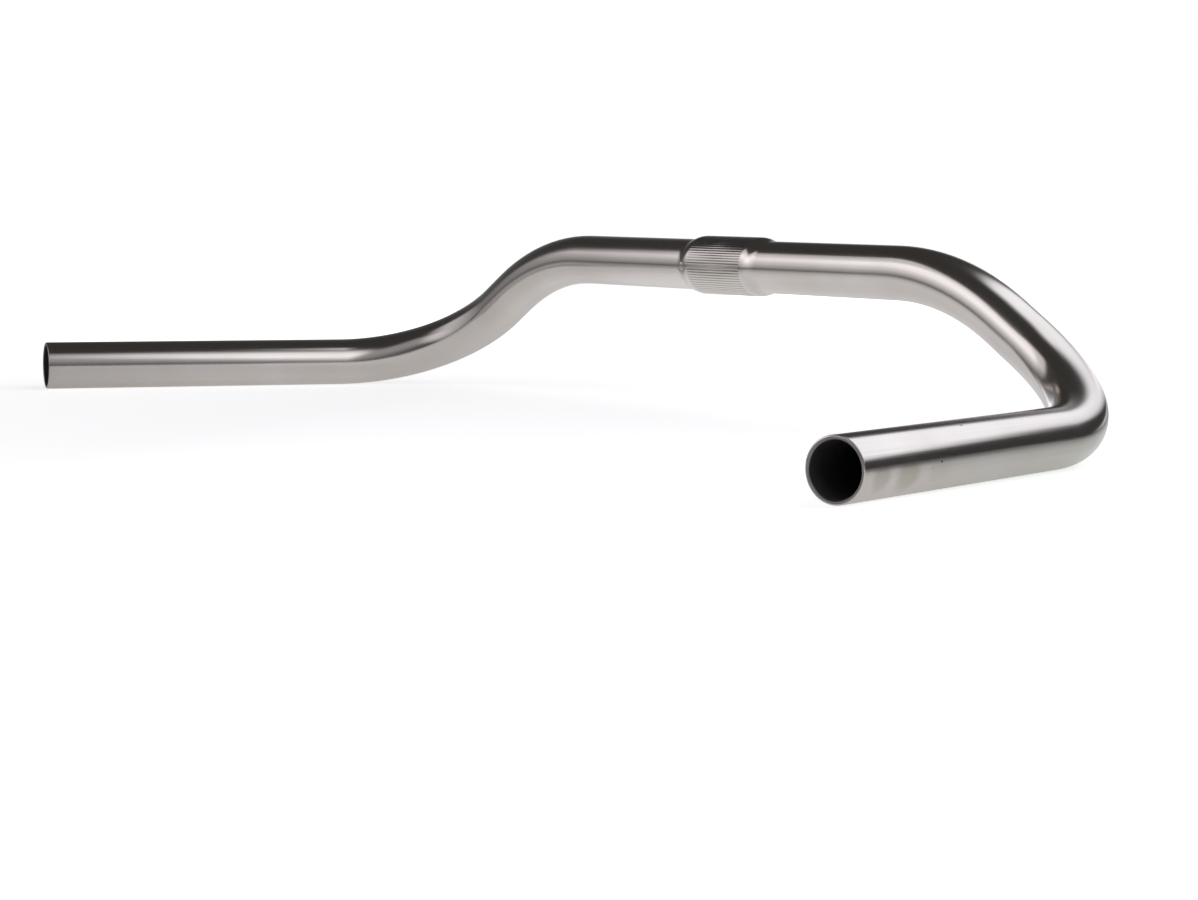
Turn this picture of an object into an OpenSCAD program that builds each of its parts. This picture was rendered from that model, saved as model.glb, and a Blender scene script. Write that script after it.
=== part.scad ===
// City bike handlebar, one bent steel tube lying on its two grips.
// X runs along the middle of the bar, the grips point back to -Y, and Z is up.
// The origin is the middle of the clamp seat.

/* [Tube] */
// Outside diameter of the tube, which is also the grip diameter
tube_d = 22.2; // [19:0.1:24.4]
// Thickness of the tube wall, kept through the seat and the bends
wall = 1.5; // [1:0.1:2.5]

/* [Clamp seat] */
// Outside diameter of the expanded seat in the middle
seat_d = 25.4; // [23.2:0.1:32]
// Length of the seat, which is knurled from end to end
seat_length = 36; // [24:1:60]
// Length of the swelling from the tube up to the seat, at each side
swell_length = 9; // [6:0.5:18]
// Number of straight grooves rolled into the seat
groove_count = 64; // [40:1:72]
// Width of one groove at the surface of the seat
groove_width = 0.6; // [0.4:0.05:0.9]
// Depth of one groove
groove_depth = 0.25; // [0.15:0.05:0.6]

/* [Middle] */
// Straight length of the bar between its two drop bends
middle_length = 210; // [150:1:300]

/* [Drop bends] */
// Angle by which the bar drops from the middle, at each side
drop_angle = 31; // [10:1:45]
// Radius of the drop bend, on the centre line
drop_radius = 120; // [60:1:160]
// Straight length between the drop bend and the sweep bend
link_length = 15; // [4:1:60]

/* [Sweep bends] */
// Angle that each grip is swept back from the line of the middle
sweep_angle = 73; // [40:1:85]
// Radius of the sweep bend, on the centre line
sweep_radius = 72; // [45:1:110]

/* [Grips] */
// Straight length of each grip, from the sweep bend to the sawn end
grip_length = 144; // [100:1:200]
// Radius of the rounded outer edge of each end
end_round = 0.5; // [0.2:0.1:0.7]
// Chamfer on the inner edge of each end
end_chamfer = 0.3; // [0.1:0.1:0.8]

/* [Hidden] */
$fn = 96;
// How far a cutting shape runs past the face that it opens
past = 1;
// How far a straight stretch reaches into the bend beside it
lap = 0.1;
// How much wider a bend is than the straights, so that they lap without their walls touching
bend_extra = 0.05;
tube_r = tube_d / 2;
seat_r = seat_d / 2;
middle_half = middle_length / 2;
// The grips stay level: the sweep bend takes up the drop, and its plane is rolled to do so
sweep_bend = acos(cos(drop_angle) * cos(sweep_angle));
sweep_roll = atan2(-sin(sweep_angle), -sin(drop_angle) * cos(sweep_angle));
steel = [0.66, 0.64, 0.62];

// Round bar along +X, reaching a little into a bend before or after it, then whatever follows it
module straight(length, r, before = 0, after = 0) {
    translate([-before, 0, 0]) rotate([0, 90, 0]) cylinder(h = before + length + after, r = r);
    translate([length, 0, 0]) children();
}

// Round bar that turns from +X towards +Y, then whatever follows it
module bend(angle, radius, r) {
    translate([0, radius, 0]) {
        rotate([0, 0, -90]) rotate_extrude(angle = angle)
            translate([radius, 0]) circle(r = r + bend_extra);
        rotate([0, 0, angle]) translate([0, -radius, 0]) children();
    }
}

// Everything from the swelling to the grip, at distance inset below the outside
module arm(inset) {
    r = tube_r - inset;
    start = seat_length / 2 + swell_length;
    translate([start, 0, 0])
        straight(middle_half - start, r, after = lap)
        rotate([-90, 0, 0]) bend(drop_angle, drop_radius, r)
        straight(link_length, r, before = lap, after = lap)
        rotate([sweep_roll, 0, 0]) bend(sweep_bend, sweep_radius, r)
        children();
}

// Outline of one swelling, from the seat at y = 0 down to the tube, as two arcs that meet halfway
module swelling_outline(inset) {
    rise = seat_r - tube_r;
    arc_r = (swell_length * swell_length + rise * rise) / (4 * rise);
    low_r = tube_r - inset;
    high_r = seat_r - inset;
    half = swell_length / 2;
    intersection() {
        translate([high_r - arc_r, 0]) circle(r = arc_r);
        square([high_r, half]);
    }
    square([low_r, swell_length]);
    difference() {
        translate([0, half]) square([low_r + rise / 2, half]);
        translate([low_r + arc_r, swell_length]) circle(r = arc_r);
    }
}

module swelling(inset) {
    translate([seat_length / 2, 0, 0]) rotate([0, 90, 0])
        rotate_extrude() swelling_outline(inset);
}

// Cross-section of the knurled seat
module knurl_outline() {
    difference() {
        circle(r = seat_r);
        for (i = [0 : groove_count - 1])
            rotate(i * 360 / groove_count) translate([seat_r, 0]) groove_outline();
    }
}

// V groove with its bottom towards the axis, wider where it leaves the round
module groove_outline() {
    slope = groove_width / 2 / groove_depth;
    polygon([[-groove_depth, 0], [past, slope * (past + groove_depth)],
        [past, -slope * (past + groove_depth)]]);
}

// Solid grip with its outer end edge rounded
module grip_end() {
    rotate([0, 90, 0]) rotate_extrude() {
        translate([0, -lap]) square([tube_r, lap + grip_length - end_round]);
        square([tube_r - end_round, grip_length]);
        translate([tube_r - end_round, grip_length - end_round]) circle(r = end_round);
    }
}

// Hollow of the grip, chamfered where it comes out of the end
module grip_hollow() {
    straight(grip_length, tube_r - wall, before = lap, after = past);
    mouth = end_chamfer + past;
    translate([grip_length - end_chamfer, 0, 0]) rotate([0, 90, 0])
        cylinder(h = mouth, r1 = tube_r - wall, r2 = tube_r - wall + mouth);
}

module both_sides() {
    children();
    mirror([1, 0, 0]) children();
}

module outside() {
    translate([-seat_length / 2, 0, 0]) rotate([0, 90, 0])
        linear_extrude(height = seat_length) knurl_outline();
    both_sides() {
        swelling(0);
        arm(0) grip_end();
    }
}

module hollow() {
    translate([-seat_length / 2, 0, 0]) straight(seat_length, seat_r - wall);
    both_sides() {
        swelling(wall);
        arm(wall) grip_hollow();
    }
}

module handlebar() {
    color(steel) difference() {
        outside();
        hollow();
    }
}

handlebar();
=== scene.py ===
"""City bike handlebar, one bent and plated steel tube, lying on its two grips in a plain studio."""
import math

import bmesh
import bpy
from mathutils import Matrix, Vector


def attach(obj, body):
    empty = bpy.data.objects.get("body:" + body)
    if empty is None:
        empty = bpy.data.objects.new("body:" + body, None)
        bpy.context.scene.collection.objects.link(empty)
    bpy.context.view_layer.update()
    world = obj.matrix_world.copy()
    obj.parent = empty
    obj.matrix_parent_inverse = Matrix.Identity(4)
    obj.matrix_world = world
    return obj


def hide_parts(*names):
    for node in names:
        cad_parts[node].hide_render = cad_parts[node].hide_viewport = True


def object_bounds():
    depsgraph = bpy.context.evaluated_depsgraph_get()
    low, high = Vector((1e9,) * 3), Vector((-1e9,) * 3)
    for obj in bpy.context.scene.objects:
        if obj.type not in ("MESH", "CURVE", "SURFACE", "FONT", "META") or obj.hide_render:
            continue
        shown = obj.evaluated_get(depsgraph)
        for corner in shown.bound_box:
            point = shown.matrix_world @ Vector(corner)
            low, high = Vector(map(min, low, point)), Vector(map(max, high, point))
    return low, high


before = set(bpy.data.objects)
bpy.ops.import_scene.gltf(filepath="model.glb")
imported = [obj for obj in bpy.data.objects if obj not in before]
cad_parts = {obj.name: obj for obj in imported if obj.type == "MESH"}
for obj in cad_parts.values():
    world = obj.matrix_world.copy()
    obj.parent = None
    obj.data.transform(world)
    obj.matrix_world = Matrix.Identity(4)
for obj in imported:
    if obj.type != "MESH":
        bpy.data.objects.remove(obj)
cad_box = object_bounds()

# Bar
# One steel tube for the whole handlebar. Its middle is swollen and knurled for the clamp of the stem,
# it is bent down and then back at each side, sawn off square, and plated with satin nickel.

TUBE_R = 0.0111
WALL = 0.0015
SEAT_R = 0.0127
SEAT_HALF = 0.018
SWELL = 0.009
DROP_START = 0.105
DROP_R = 0.120
DROP_TURN = math.radians(31)
LINK = 0.015
SWEEP_R = 0.072
SWEEP = math.radians(73)
GRIP = 0.144
END_ROUND = 0.0005
END_CHAMFER = 0.0003

# The grips stay level, so the sweep bend takes up the drop and its plane is rolled to do so
SWEEP_TURN = math.acos(math.cos(DROP_TURN) * math.cos(SWEEP))
DROP_ROLL = math.radians(-90)
SWEEP_ROLL = DROP_ROLL + math.atan2(-math.sin(SWEEP), -math.sin(DROP_TURN) * math.cos(SWEEP))
SWEEP_START = DROP_START + DROP_R * DROP_TURN + LINK
GRIP_START = SWEEP_START + SWEEP_R * SWEEP_TURN
GRIP_END = GRIP_START + GRIP

# A groove of the knurl takes 4 facets of the round: 2 for its land and 2 for its sides. It is pressed in
# less deep than in the solid, because the photograph shows softer lines than such deep sides mirror.
GROOVES = 64
FACETS = 4 * GROOVES
GROOVE_DEPTH = 0.00012
RUN_OUT = 0.0005
SMOOTH_BELOW = math.radians(30)
TOUCHING = 1e-6


def skin(inset, steps):
    """Line of the straight tube from its middle to the grip, that far below its outside.

    It is a list of distances along the tube and radii. Each arc of the swelling takes that many steps.
    """
    rise = SEAT_R - TUBE_R
    arc_r = (SWELL * SWELL + rise * rise) / (4 * rise)
    lean = math.asin(SWELL / 2 / arc_r)
    low, high = TUBE_R - inset, SEAT_R - inset
    line = [(0, high), (SEAT_HALF - RUN_OUT, high)]
    # The swelling: a round crest down from the seat, then a hollow that runs out on the tube
    for k in range(steps + 1):
        a = lean * k / steps
        line.append((SEAT_HALF + arc_r * math.sin(a), high - arc_r * (1 - math.cos(a))))
    for k in reversed(range(steps)):
        a = lean * k / steps
        line.append((SEAT_HALF + SWELL - arc_r * math.sin(a), low + arc_r * (1 - math.cos(a))))
    for start, arc, rings in (
        (DROP_START, DROP_R * DROP_TURN, 2 * steps),
        (SWEEP_START, SWEEP_R * SWEEP_TURN, 6 * steps),
    ):
        line += [(start + arc * k / rings, low) for k in range(rings + 1)]
    return line


bar = bmesh.new()


def revolve(line):
    """Spins a line round the tube's axis and returns the new faces."""
    before = set(bar.faces)
    corners = [bar.verts.new((x, 0, r)) for x, r in line]
    edges = [bar.edges.new(pair) for pair in zip(corners, corners[1:])]
    bmesh.ops.spin(
        bar, geom=corners + edges, cent=(0, 0, 0), axis=(1, 0, 0), angle=math.radians(360),
        steps=FACETS, use_merge=True, use_duplicate=False,
    )
    return [f for f in bar.faces if f not in before]


# Half of the tube, still straight: out along its skin, round the sawn end, and back down the bore
end = [(GRIP_END - END_ROUND + END_ROUND * math.sin(a), TUBE_R - END_ROUND * (1 - math.cos(a)))
       for a in (math.radians(90) * k / 4 for k in range(5))]
mouth = [(GRIP_END, TUBE_R - WALL + END_CHAMFER), (GRIP_END - END_CHAMFER, TUBE_R - WALL)]
revolve(skin(0, steps=6) + end)
for face in revolve(end[-1:] + mouth):
    face.material_index = 1
for face in revolve(mouth[-1:] + skin(WALL, steps=3)[::-1]):
    face.material_index = 2
bmesh.ops.remove_doubles(bar, verts=bar.verts, dist=TOUCHING)

# The rolled grooves, which run out just before the ends of the seat
groove = bar.verts.layers.float.new("groove")
for v in bar.verts:
    facet = round(math.atan2(v.co.y, v.co.z) / math.radians(360) * FACETS) % 4
    if facet == 3 and v.co.x < SEAT_HALF - RUN_OUT / 2 and v.co.yz.length > SEAT_R - WALL / 2:
        v.co.yz *= 1 - GROOVE_DEPTH / SEAT_R
        v[groove] = 1

# Where each point lies while the tube is still straight, for the bends and for the draw lines
laid_out = bar.verts.layers.float_vector.new("laid_out")
for v in bar.verts:
    v[laid_out] = v.co


def bend(start, radius, turn, roll):
    """Wraps the bar round a former, from that distance outwards."""
    towards = Matrix.Rotation(roll, 3, "X") @ Vector((0, 1, 0))
    former = Vector((start, 0, 0)) + radius * towards
    axis = Vector((1, 0, 0)).cross(towards)
    for v in bar.verts:
        travel = min(v[laid_out].x - start, radius * turn)
        if travel > 0:
            v.co.x -= travel
            v.co = former + Matrix.Rotation(travel / radius, 3, axis) @ (v.co - former)


bend(SWEEP_START, SWEEP_R, SWEEP_TURN, SWEEP_ROLL)
bend(DROP_START, DROP_R, DROP_TURN, DROP_ROLL)
sawn_edge = [v.co for v in bar.verts if v[laid_out].x > GRIP_END - TOUCHING]
grip_tip = sum(sawn_edge, Vector()) / len(sawn_edge)
bmesh.ops.mirror(
    bar, geom=bar.verts[:] + bar.edges[:] + bar.faces[:], matrix=Matrix.Identity(4),
    merge_dist=TOUCHING, axis="X",
)
for v in bar.verts:
    if v.co.x < 0:
        v[laid_out].x = -v[laid_out].x
bmesh.ops.recalc_face_normals(bar, faces=bar.faces)
for edge in bar.edges:
    edge.smooth = edge.calc_face_angle(0) < SMOOTH_BELOW
for face in bar.faces:
    face.smooth = True

bar_mesh = bpy.data.meshes.new("bar")
bar.to_mesh(bar_mesh)
bar.free()
handlebar = bpy.data.objects.new("bar", bar_mesh)
bpy.context.collection.objects.link(handlebar)


def new_material(name):
    """An empty node material, its nodes, its links and its Principled shader."""
    material = bpy.data.materials.new(name)
    material.use_nodes = True
    tree = material.node_tree
    tree.nodes.clear()
    output = tree.nodes.new("ShaderNodeOutputMaterial")
    shader = tree.nodes.new("ShaderNodeBsdfPrincipled")
    tree.links.new(shader.outputs["BSDF"], output.inputs["Surface"])
    return material, tree.nodes, tree.links, shader


def ranged(value, low, high, near=0, far=1, eased=False):
    """A value that runs from low to high as one that runs from near to far."""
    span = nodes.new("ShaderNodeMapRange")
    span.interpolation_type = "SMOOTHSTEP" if eased else "LINEAR"
    for name, number in (("From Min", low), ("From Max", high), ("To Min", near), ("To Max", far)):
        span.inputs[name].default_value = number
    links.new(value, span.inputs["Value"])
    return span.outputs["Result"]


def reckoned(operation, *values):
    """The result of a sum on values, each of them a socket or a number."""
    sums = nodes.new("ShaderNodeMath")
    sums.operation = operation
    for value, socket in zip(values, sums.inputs):
        if isinstance(value, bpy.types.NodeSocket):
            links.new(value, socket)
        else:
            socket.default_value = value
    return sums.outputs[0]


def mixed(share, one, other):
    """A colour between two, each of them a socket or a colour."""
    blend = nodes.new("ShaderNodeMix")
    blend.data_type = "RGBA"
    links.new(share, blend.inputs["Factor"])
    for colour, socket in ((one, blend.inputs["A"]), (other, blend.inputs["B"])):
        if isinstance(colour, bpy.types.NodeSocket):
            links.new(colour, socket)
        else:
            socket.default_value = (*colour, 1)
    return blend.outputs["Result"]


def attribute(name):
    """The node that reads a layer of the mesh."""
    found = nodes.new("ShaderNodeAttribute")
    found.attribute_name = name
    return found


def stretched_noise(vector, per_metre, detail):
    """Noise with that many waves to the metre along each axis."""
    placed = nodes.new("ShaderNodeMapping")
    placed.inputs["Scale"].default_value = per_metre
    links.new(vector, placed.inputs["Vector"])
    noise = nodes.new("ShaderNodeTexNoise")
    noise.inputs["Scale"].default_value = 1
    noise.inputs["Detail"].default_value = detail
    links.new(placed.outputs["Vector"], noise.inputs["Vector"])
    return noise.outputs["Fac"]


def soft_spot_group():
    """Mask of a soft-edged oval spot: 1 in its middle, and 0 beyond its reach."""
    group = bpy.data.node_groups.new("soft_spot", "ShaderNodeTree")
    for name in ("Vector", "Place", "Turn", "Reach"):
        group.interface.new_socket(name, in_out="INPUT", socket_type="NodeSocketVector")
    group.interface.new_socket("Mask", in_out="OUTPUT", socket_type="NodeSocketFloat")
    made = group.nodes
    given = made.new("NodeGroupInput")
    placed = made.new("ShaderNodeMapping")
    placed.vector_type = "TEXTURE"
    for name, socket in (
        ("Vector", "Vector"), ("Place", "Location"), ("Turn", "Rotation"), ("Reach", "Scale"),
    ):
        group.links.new(given.outputs[name], placed.inputs[socket])
    off = made.new("ShaderNodeVectorMath")
    off.operation = "LENGTH"
    group.links.new(placed.outputs["Vector"], off.inputs[0])
    fade = made.new("ShaderNodeMapRange")
    fade.interpolation_type = "SMOOTHSTEP"
    fade.inputs["From Min"].default_value = 0.35
    fade.inputs["To Min"].default_value = 1
    fade.inputs["To Max"].default_value = 0
    group.links.new(off.outputs["Value"], fade.inputs["Value"])
    group.links.new(fade.outputs["Result"], made.new("NodeGroupOutput").inputs["Mask"])
    return group


soft_spot = soft_spot_group()


def marks(spots):
    """The mask of several spots on the right grip.

    Each is given by its distance from the sawn end, its angle above the outer side in degrees, how far
    it reaches along and round the grip, all in metres, and its strength.
    """
    total = 0
    for back, angle, along, around, strength in spots:
        lift = math.radians(angle)
        outward = Vector((math.sin(SWEEP) * math.cos(lift), math.cos(SWEEP) * math.cos(lift), math.sin(lift)))
        spot = nodes.new("ShaderNodeGroup")
        spot.node_tree = soft_spot
        spot.inputs["Place"].default_value = (
            grip_tip - back * Vector((math.cos(SWEEP), -math.sin(SWEEP), 0)) + TUBE_R * outward
        )
        spot.inputs["Turn"].default_value = (lift, 0, -SWEEP)
        spot.inputs["Reach"].default_value = (along, around, around)
        links.new(position, spot.inputs["Vector"])
        total = reckoned("MULTIPLY_ADD", spot.outputs["Mask"], strength, total)
    return total


# Satin nickel: drawn lengthwise, a little warmer in places, with finger smudges and pits on the grip, and
# painted shade darkening the knurl's grooves
nickel, nodes, links, shader = new_material("satin_nickel")
position = nodes.new("ShaderNodeTexCoord").outputs["Object"]
straight = attribute("laid_out").outputs["Vector"]
clouds = stretched_noise(position, (26, 26, 26), 3)
draw_lines = stretched_noise(straight, (18, 1600, 1600), 2)
smudges = marks([
    (0.0105, -11, 0.0070, 0.0072, 0.8), (0.0272, -15, 0.0095, 0.0085, 0.9),
    (0.0467, -14.5, 0.009, 0.006, 0.25),
])
pits = marks([
    (0.0700, 63.1, 0.0008, 0.0006, 1), (0.0368, 78.9, 0.0007, 0.0006, 0.8),
    (0.0472, 0.5, 0.0008, 0.0006, 0.9), (0.0417, -9, 0.0006, 0.0004, 0.3),
])
in_groove = attribute("groove").outputs["Fac"]
colour = mixed(ranged(clouds, 0.35, 0.65), (0.690, 0.654, 0.622), (0.640, 0.600, 0.558))
colour = mixed(ranged(draw_lines, 0.3, 0.7, 0, 0.16), colour, (0.50, 0.47, 0.44))
colour = mixed(reckoned("MULTIPLY", smudges, 0.62), colour, (0.42, 0.37, 0.31))
# Painted shade: the grooves are coloured darker, standing in for the shade in their recesses
colour = mixed(reckoned("MULTIPLY", in_groove, 0.85), colour, (0.17, 0.16, 0.15))
colour = mixed(pits, colour, (0.04, 0.035, 0.03))
links.new(colour, shader.inputs["Base Color"])
shader.inputs["Metallic"].default_value = 1
roughness = ranged(draw_lines, 0.25, 0.75, 0.155, 0.195)
roughness = reckoned("MULTIPLY_ADD", smudges, 0.06, roughness)
roughness = reckoned("MULTIPLY_ADD", in_groove, 0.1, roughness)
links.new(roughness, shader.inputs["Roughness"])
bump = nodes.new("ShaderNodeBump")
bump.inputs["Strength"].default_value = 0.25
bump.inputs["Distance"].default_value = 0.00005
links.new(reckoned("SUBTRACT", draw_lines, reckoned("MULTIPLY", pits, 3)), bump.inputs["Height"])
links.new(bump.outputs["Normal"], shader.inputs["Normal"])
bar_mesh.materials.append(nickel)

# The sawn ends: duller and darker, with the marks of the saw straight across
sawn, nodes, links, shader = new_material("sawn_end")
position = nodes.new("ShaderNodeTexCoord").outputs["Object"]
saw_marks = stretched_noise(position, (150, 150, 6000), 2)
colour = mixed(ranged(saw_marks, 0.3, 0.7), (0.20, 0.195, 0.19), (0.28, 0.27, 0.26))
links.new(colour, shader.inputs["Base Color"])
shader.inputs["Metallic"].default_value = 1
links.new(ranged(saw_marks, 0.3, 0.7, 0.32, 0.42), shader.inputs["Roughness"])
bump = nodes.new("ShaderNodeBump")
bump.inputs["Strength"].default_value = 0.4
bump.inputs["Distance"].default_value = 0.00005
links.new(saw_marks, bump.inputs["Height"])
links.new(bump.outputs["Normal"], shader.inputs["Normal"])
bar_mesh.materials.append(sawn)

# The bore: a near-black colour that is painted shade for the dark inside the tube, matt, with a little rust
bore, nodes, links, shader = new_material("bore_painted_shade")
position = nodes.new("ShaderNodeTexCoord").outputs["Object"]
rust = stretched_noise(position, (220, 220, 220), 4)
colour = mixed(ranged(rust, 0.45, 0.7), (0.046, 0.046, 0.048), (0.056, 0.047, 0.040))
links.new(colour, shader.inputs["Base Color"])
links.new(ranged(rust, 0.3, 0.7, 0.55, 0.8), shader.inputs["Roughness"])
bump = nodes.new("ShaderNodeBump")
bump.inputs["Strength"].default_value = 0.5
bump.inputs["Distance"].default_value = 0.0001
links.new(rust, bump.inputs["Height"])
links.new(bump.outputs["Normal"], shader.inputs["Normal"])
bar_mesh.materials.append(bore)

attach(handlebar, "root")
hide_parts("handlebar")

# Camera
# The photograph's view, from low on the right of the bar and in front of its near grip.

CAMERA_AT = (0.9193089, -0.7461282, 0.0323651)
LOOKS_LEFT = math.radians(53.74965)
LOOKS_DOWN = math.radians(5.461616)
LEANS = math.radians(0.481866)

lens = bpy.data.cameras.new("camera")
lens.sensor_fit = "HORIZONTAL"
lens.sensor_width = 36
lens.lens = 81.79649
lens.clip_start = 0.01
camera = bpy.data.objects.new("camera", lens)
bpy.context.collection.objects.link(camera)
camera.matrix_world = (
    Matrix.Translation(CAMERA_AT)
    @ Matrix.Rotation(LOOKS_LEFT, 4, "Z")
    @ Matrix.Rotation(math.radians(90) - LOOKS_DOWN, 4, "X")
    @ Matrix.Rotation(LEANS, 4, "Z")
)
bpy.context.scene.camera = camera

# Table
# A wide, pale, matt table top, which the two grips lie on.

TABLE_HALF = 6.0

table_shape = bmesh.new()
bmesh.ops.create_grid(table_shape, x_segments=1, y_segments=1, size=TABLE_HALF)
bmesh.ops.translate(table_shape, vec=(0, 0, cad_box[0].z), verts=table_shape.verts)
table_mesh = bpy.data.meshes.new("table")
table_shape.to_mesh(table_mesh)
table_shape.free()
table = bpy.data.objects.new("table", table_mesh)
bpy.context.collection.objects.link(table)

# The table's own light, as a share of white. The camera sees it less bright near the bar, where its paint
# adds the rest and keeps the shadow. The metal is shown a painted reflection: the table glows for its rays
# alone, brightest near the bar, with more in a spot at the left of the middle and another behind the right
# sweep. Behind the left sweep it is dimmed, and out to the right of the bar too, almost to nothing, with a
# green tint. Out there, and all round away from the bar, the metal is shown the paint darker, a painted
# shade.
SHOWN_NEAR = 0.62
SHOWN_FAR = 1.0
MIRRORED_NEAR = 0.46
MIRRORED_SPOT = 0.14
MIRRORED_SWEEP = 0.20
MIRRORED_LEFT = 0.80
MIRRORED_RIGHT = 0.10
PAINT = (0.75, 0.75, 0.75)
PAINTED_SHADE_FAR = (0.28, 0.28, 0.28)
TINT_RIGHT = (0.89, 1, 0.90)


def away_from(centre, turned, reach, inner=0):
    """How far off a centre a place on the table is: 0 up to the inner share of the reach, 1 beyond it."""
    placed = nodes.new("ShaderNodeMapping")
    placed.vector_type = "TEXTURE"
    placed.inputs["Location"].default_value = centre
    placed.inputs["Rotation"].default_value = (0, 0, turned)
    placed.inputs["Scale"].default_value = reach
    links.new(position, placed.inputs["Vector"])
    off = nodes.new("ShaderNodeVectorMath")
    off.operation = "LENGTH"
    links.new(placed.outputs["Vector"], off.inputs[0])
    return ranged(off.outputs["Value"], inner, 1, eased=True)


pale, nodes, links, shader = new_material("pale_table")
shader.inputs["Roughness"].default_value = 0.9
shader.inputs["Specular IOR Level"].default_value = 0.0
position = nodes.new("ShaderNodeTexCoord").outputs["Object"]
ray = nodes.new("ShaderNodeLightPath")
off_view = away_from((0, -0.05, 0), 0, (0.9, 0.9, 1))
off_bar = away_from((-0.0146, -0.1240, 0), LOOKS_LEFT, (0.62, 2.5, 1))
off_spot = away_from((-0.1155, -0.0115, 0), 0, (0.13, 0.13, 1))
off_sweep = away_from((0.2059, 0.0102, 0), 0, (0.17, 0.17, 1))
off_left = away_from((-0.2360, -0.0006, 0), 0, (0.13, 0.13, 1))
off_right = away_from((0.4730, 0.0871, 0), LOOKS_LEFT, (0.323, 0.2975, 1), inner=0.41)
# Painted reflection: the table glows for the metal's rays alone
mirrored = reckoned("ADD", ranged(off_bar, 0, 1, MIRRORED_NEAR, 0), ranged(off_spot, 0, 1, MIRRORED_SPOT, 0))
mirrored = reckoned("ADD", mirrored, ranged(off_sweep, 0, 1, MIRRORED_SWEEP, 0))
mirrored = reckoned("MULTIPLY", mirrored, ranged(off_left, 0, 1, MIRRORED_LEFT, 1))
mirrored = reckoned("MULTIPLY", mirrored, ranged(off_right, 0, 1, MIRRORED_RIGHT, 1))
glow = reckoned(
    "ADD",
    reckoned("MULTIPLY", ray.outputs["Is Camera Ray"], ranged(off_view, 0, 1, SHOWN_NEAR, SHOWN_FAR)),
    reckoned("MULTIPLY", ray.outputs["Is Glossy Ray"], mirrored),
)
links.new(glow, shader.inputs["Emission Strength"])
links.new(mixed(ranged(off_right, 0.6, 1), TINT_RIGHT, (1, 1, 1)), shader.inputs["Emission Color"])
# Painted shade in the reflection: for the metal's rays the paint turns darker away from the bar
dimmed = reckoned("MAXIMUM", off_bar, reckoned("SUBTRACT", 1, off_right))
dimmed = reckoned("MULTIPLY", ray.outputs["Is Glossy Ray"], dimmed)
links.new(mixed(dimmed, PAINT, PAINTED_SHADE_FAR), shader.inputs["Base Color"])
table_mesh.materials.append(pale)

# Light
# Two soft boxes on the left, one high on the right, two panels on the camera's side and a screen at the
# back, all in a dark room. The satin metal shows them as pale bands with dark gaps between.


def softbox(name, place, turn, lift, roll, wide, tall, full, radiance, tint=(0.98, 0.95, 1)):
    """A soft lamp that faces the bar and fades towards its edges.

    Its place is measured to the right of the bar, away from the camera and up, in metres. Turn and lift
    say in which direction its back looks, in degrees clockwise from the line of sight and upwards.
    Full is the share of its width and of its height that shines in full, below 0 where none does.
    Tint is its colour, which is a little off white to suit what the metal shows of it.
    """
    light = bpy.data.lights.new(name, "AREA")
    light.shape = "RECTANGLE"
    light.size = wide
    light.size_y = tall
    light.energy = radiance * math.pi * wide * tall
    light.color = tint
    light.use_nodes = True
    nodes, links = light.node_tree.nodes, light.node_tree.links
    nodes.clear()
    spot = nodes.new("ShaderNodeNewGeometry")
    split = nodes.new("ShaderNodeSeparateXYZ")
    links.new(spot.outputs["Parametric"], split.inputs[0])
    fades = []
    for axis in range(2):
        off = nodes.new("ShaderNodeMath")
        off.operation = "SUBTRACT"
        off.inputs[1].default_value = 0.5
        links.new(split.outputs[axis], off.inputs[0])
        off_centre = nodes.new("ShaderNodeMath")
        off_centre.operation = "ABSOLUTE"
        links.new(off.outputs[0], off_centre.inputs[0])
        fade = nodes.new("ShaderNodeMapRange")
        fade.interpolation_type = "SMOOTHSTEP"
        fade.inputs["From Min"].default_value = full[axis] / 2
        fade.inputs["From Max"].default_value = 0.5
        fade.inputs["To Min"].default_value = 1
        fade.inputs["To Max"].default_value = 0
        links.new(off_centre.outputs[0], fade.inputs["Value"])
        fades.append(fade.outputs["Result"])
    both = nodes.new("ShaderNodeMath")
    both.operation = "MULTIPLY"
    links.new(fades[0], both.inputs[0])
    links.new(fades[1], both.inputs[1])
    shine = nodes.new("ShaderNodeEmission")
    links.new(both.outputs[0], shine.inputs["Strength"])
    links.new(shine.outputs[0], nodes.new("ShaderNodeOutputLight").inputs["Surface"])
    lamp = bpy.data.objects.new(name, light)
    bpy.context.collection.objects.link(lamp)
    lamp.matrix_world = (
        Matrix.Rotation(LOOKS_LEFT, 4, "Z")
        @ Matrix.Translation(place)
        @ Matrix.Rotation(math.radians(-turn), 4, "Z")
        @ Matrix.Rotation(math.radians(lift - 90), 4, "X")
        @ Matrix.Rotation(math.radians(-roll), 4, "Z")
    )
    lamp.visible_camera = False


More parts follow.
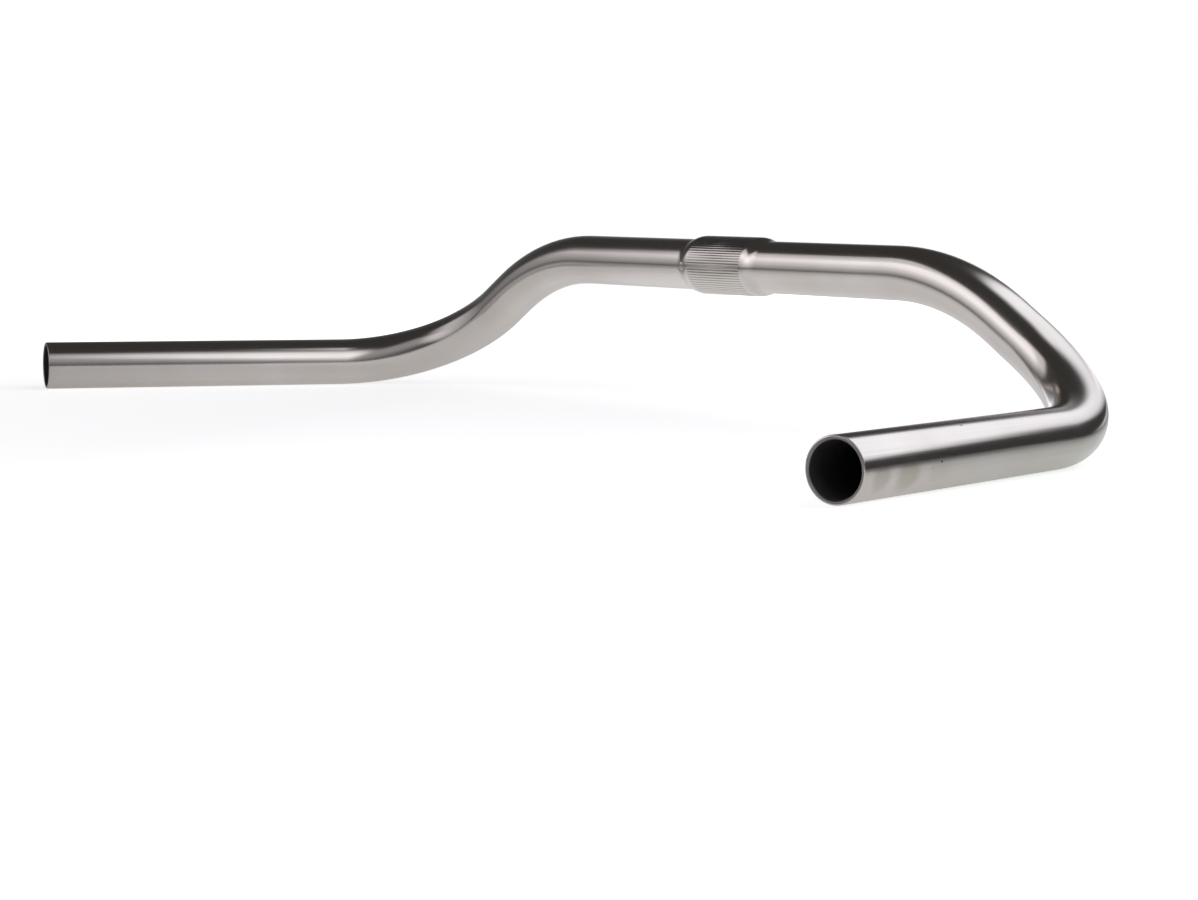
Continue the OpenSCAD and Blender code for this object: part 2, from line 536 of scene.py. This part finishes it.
softbox(
    "far_left_softbox", (-2.446, -0.313, 1.072), turn=-97.9, lift=-22.8, roll=32.6,
    wide=3.95, tall=4.93, full=(0.615, -0.03), radiance=0.66, tint=(0.96, 0.96, 1),
)
softbox(
    "near_left_softbox", (-0.525, -0.086, 0.417), turn=-70.9, lift=-32.5, roll=2.8,
    wide=0.687, tall=1.158, full=(0.84, 0.416), radiance=0.82, tint=(0.98, 0.945, 0.98),
)
softbox(
    "right_softbox", (0.853, -0.162, 0.588), turn=28.9, lift=60.2, roll=10.5,
    wide=1.627, tall=1.172, full=(0.844, 0.512), radiance=1.38, tint=(0.915, 0.93, 1),
)
softbox(
    "front_right_panel", (0.849, -1.247, 1.263), turn=174.8, lift=23.5, roll=-36.3,
    wide=1.608, tall=2.92, full=(0.281, 0.107), radiance=1.30, tint=(0.955, 0.95, 1),
)
softbox(
    "front_left_panel", (-0.284, -1.064, 0.863), turn=-157.5, lift=-8.9, roll=8.8,
    wide=2.94, tall=2.054, full=(0.998, 0.231), radiance=0.33,
)
softbox(
    "rear_screen", (0.674, 2.203, 0.019), turn=-61.1, lift=57.9, roll=45.7,
    wide=6.63, tall=3.357, full=(-0.409, 0.56), radiance=1.58, tint=(0.94, 0.94, 1),
)

world = bpy.data.worlds.new("studio")
bpy.context.scene.world = world
world.use_nodes = True
nodes, links = world.node_tree.nodes, world.node_tree.links
nodes.clear()
room = nodes.new("ShaderNodeBackground")
room.inputs["Color"].default_value = (0.045, 0.043, 0.042, 1)
backdrop = nodes.new("ShaderNodeBackground")
backdrop.inputs["Color"].default_value = (1, 1, 1, 1)
ray = nodes.new("ShaderNodeLightPath")
choice = nodes.new("ShaderNodeMixShader")
sky = nodes.new("ShaderNodeOutputWorld")
towards = nodes.new("ShaderNodeTexCoord").outputs["Generated"]
behind = nodes.new("ShaderNodeVectorMath")
behind.operation = "DOT_PRODUCT"
behind.inputs[1].default_value = (-math.sin(LOOKS_LEFT), math.cos(LOOKS_LEFT), 0)
links.new(towards, behind.inputs[0])
height = nodes.new("ShaderNodeSeparateXYZ")
links.new(towards, height.inputs[0])
low = ranged(height.outputs["Z"], 0.01, 0.05, 1, 0, eased=True)
mirrored = reckoned("MULTIPLY", ranged(behind.outputs["Value"], 0.6, 0.85, eased=True), low)
rays = reckoned("MAXIMUM", ray.outputs["Is Glossy Ray"], ray.outputs["Is Transmission Ray"])
shows = reckoned("MULTIPLY_ADD", rays, mirrored, ray.outputs["Is Camera Ray"])
links.new(shows, choice.inputs["Fac"])
links.new(room.outputs[0], choice.inputs[1])
links.new(backdrop.outputs[0], choice.inputs[2])
links.new(choice.outputs[0], sky.inputs["Surface"])

bpy.context.scene.view_settings.view_transform = "Standard"
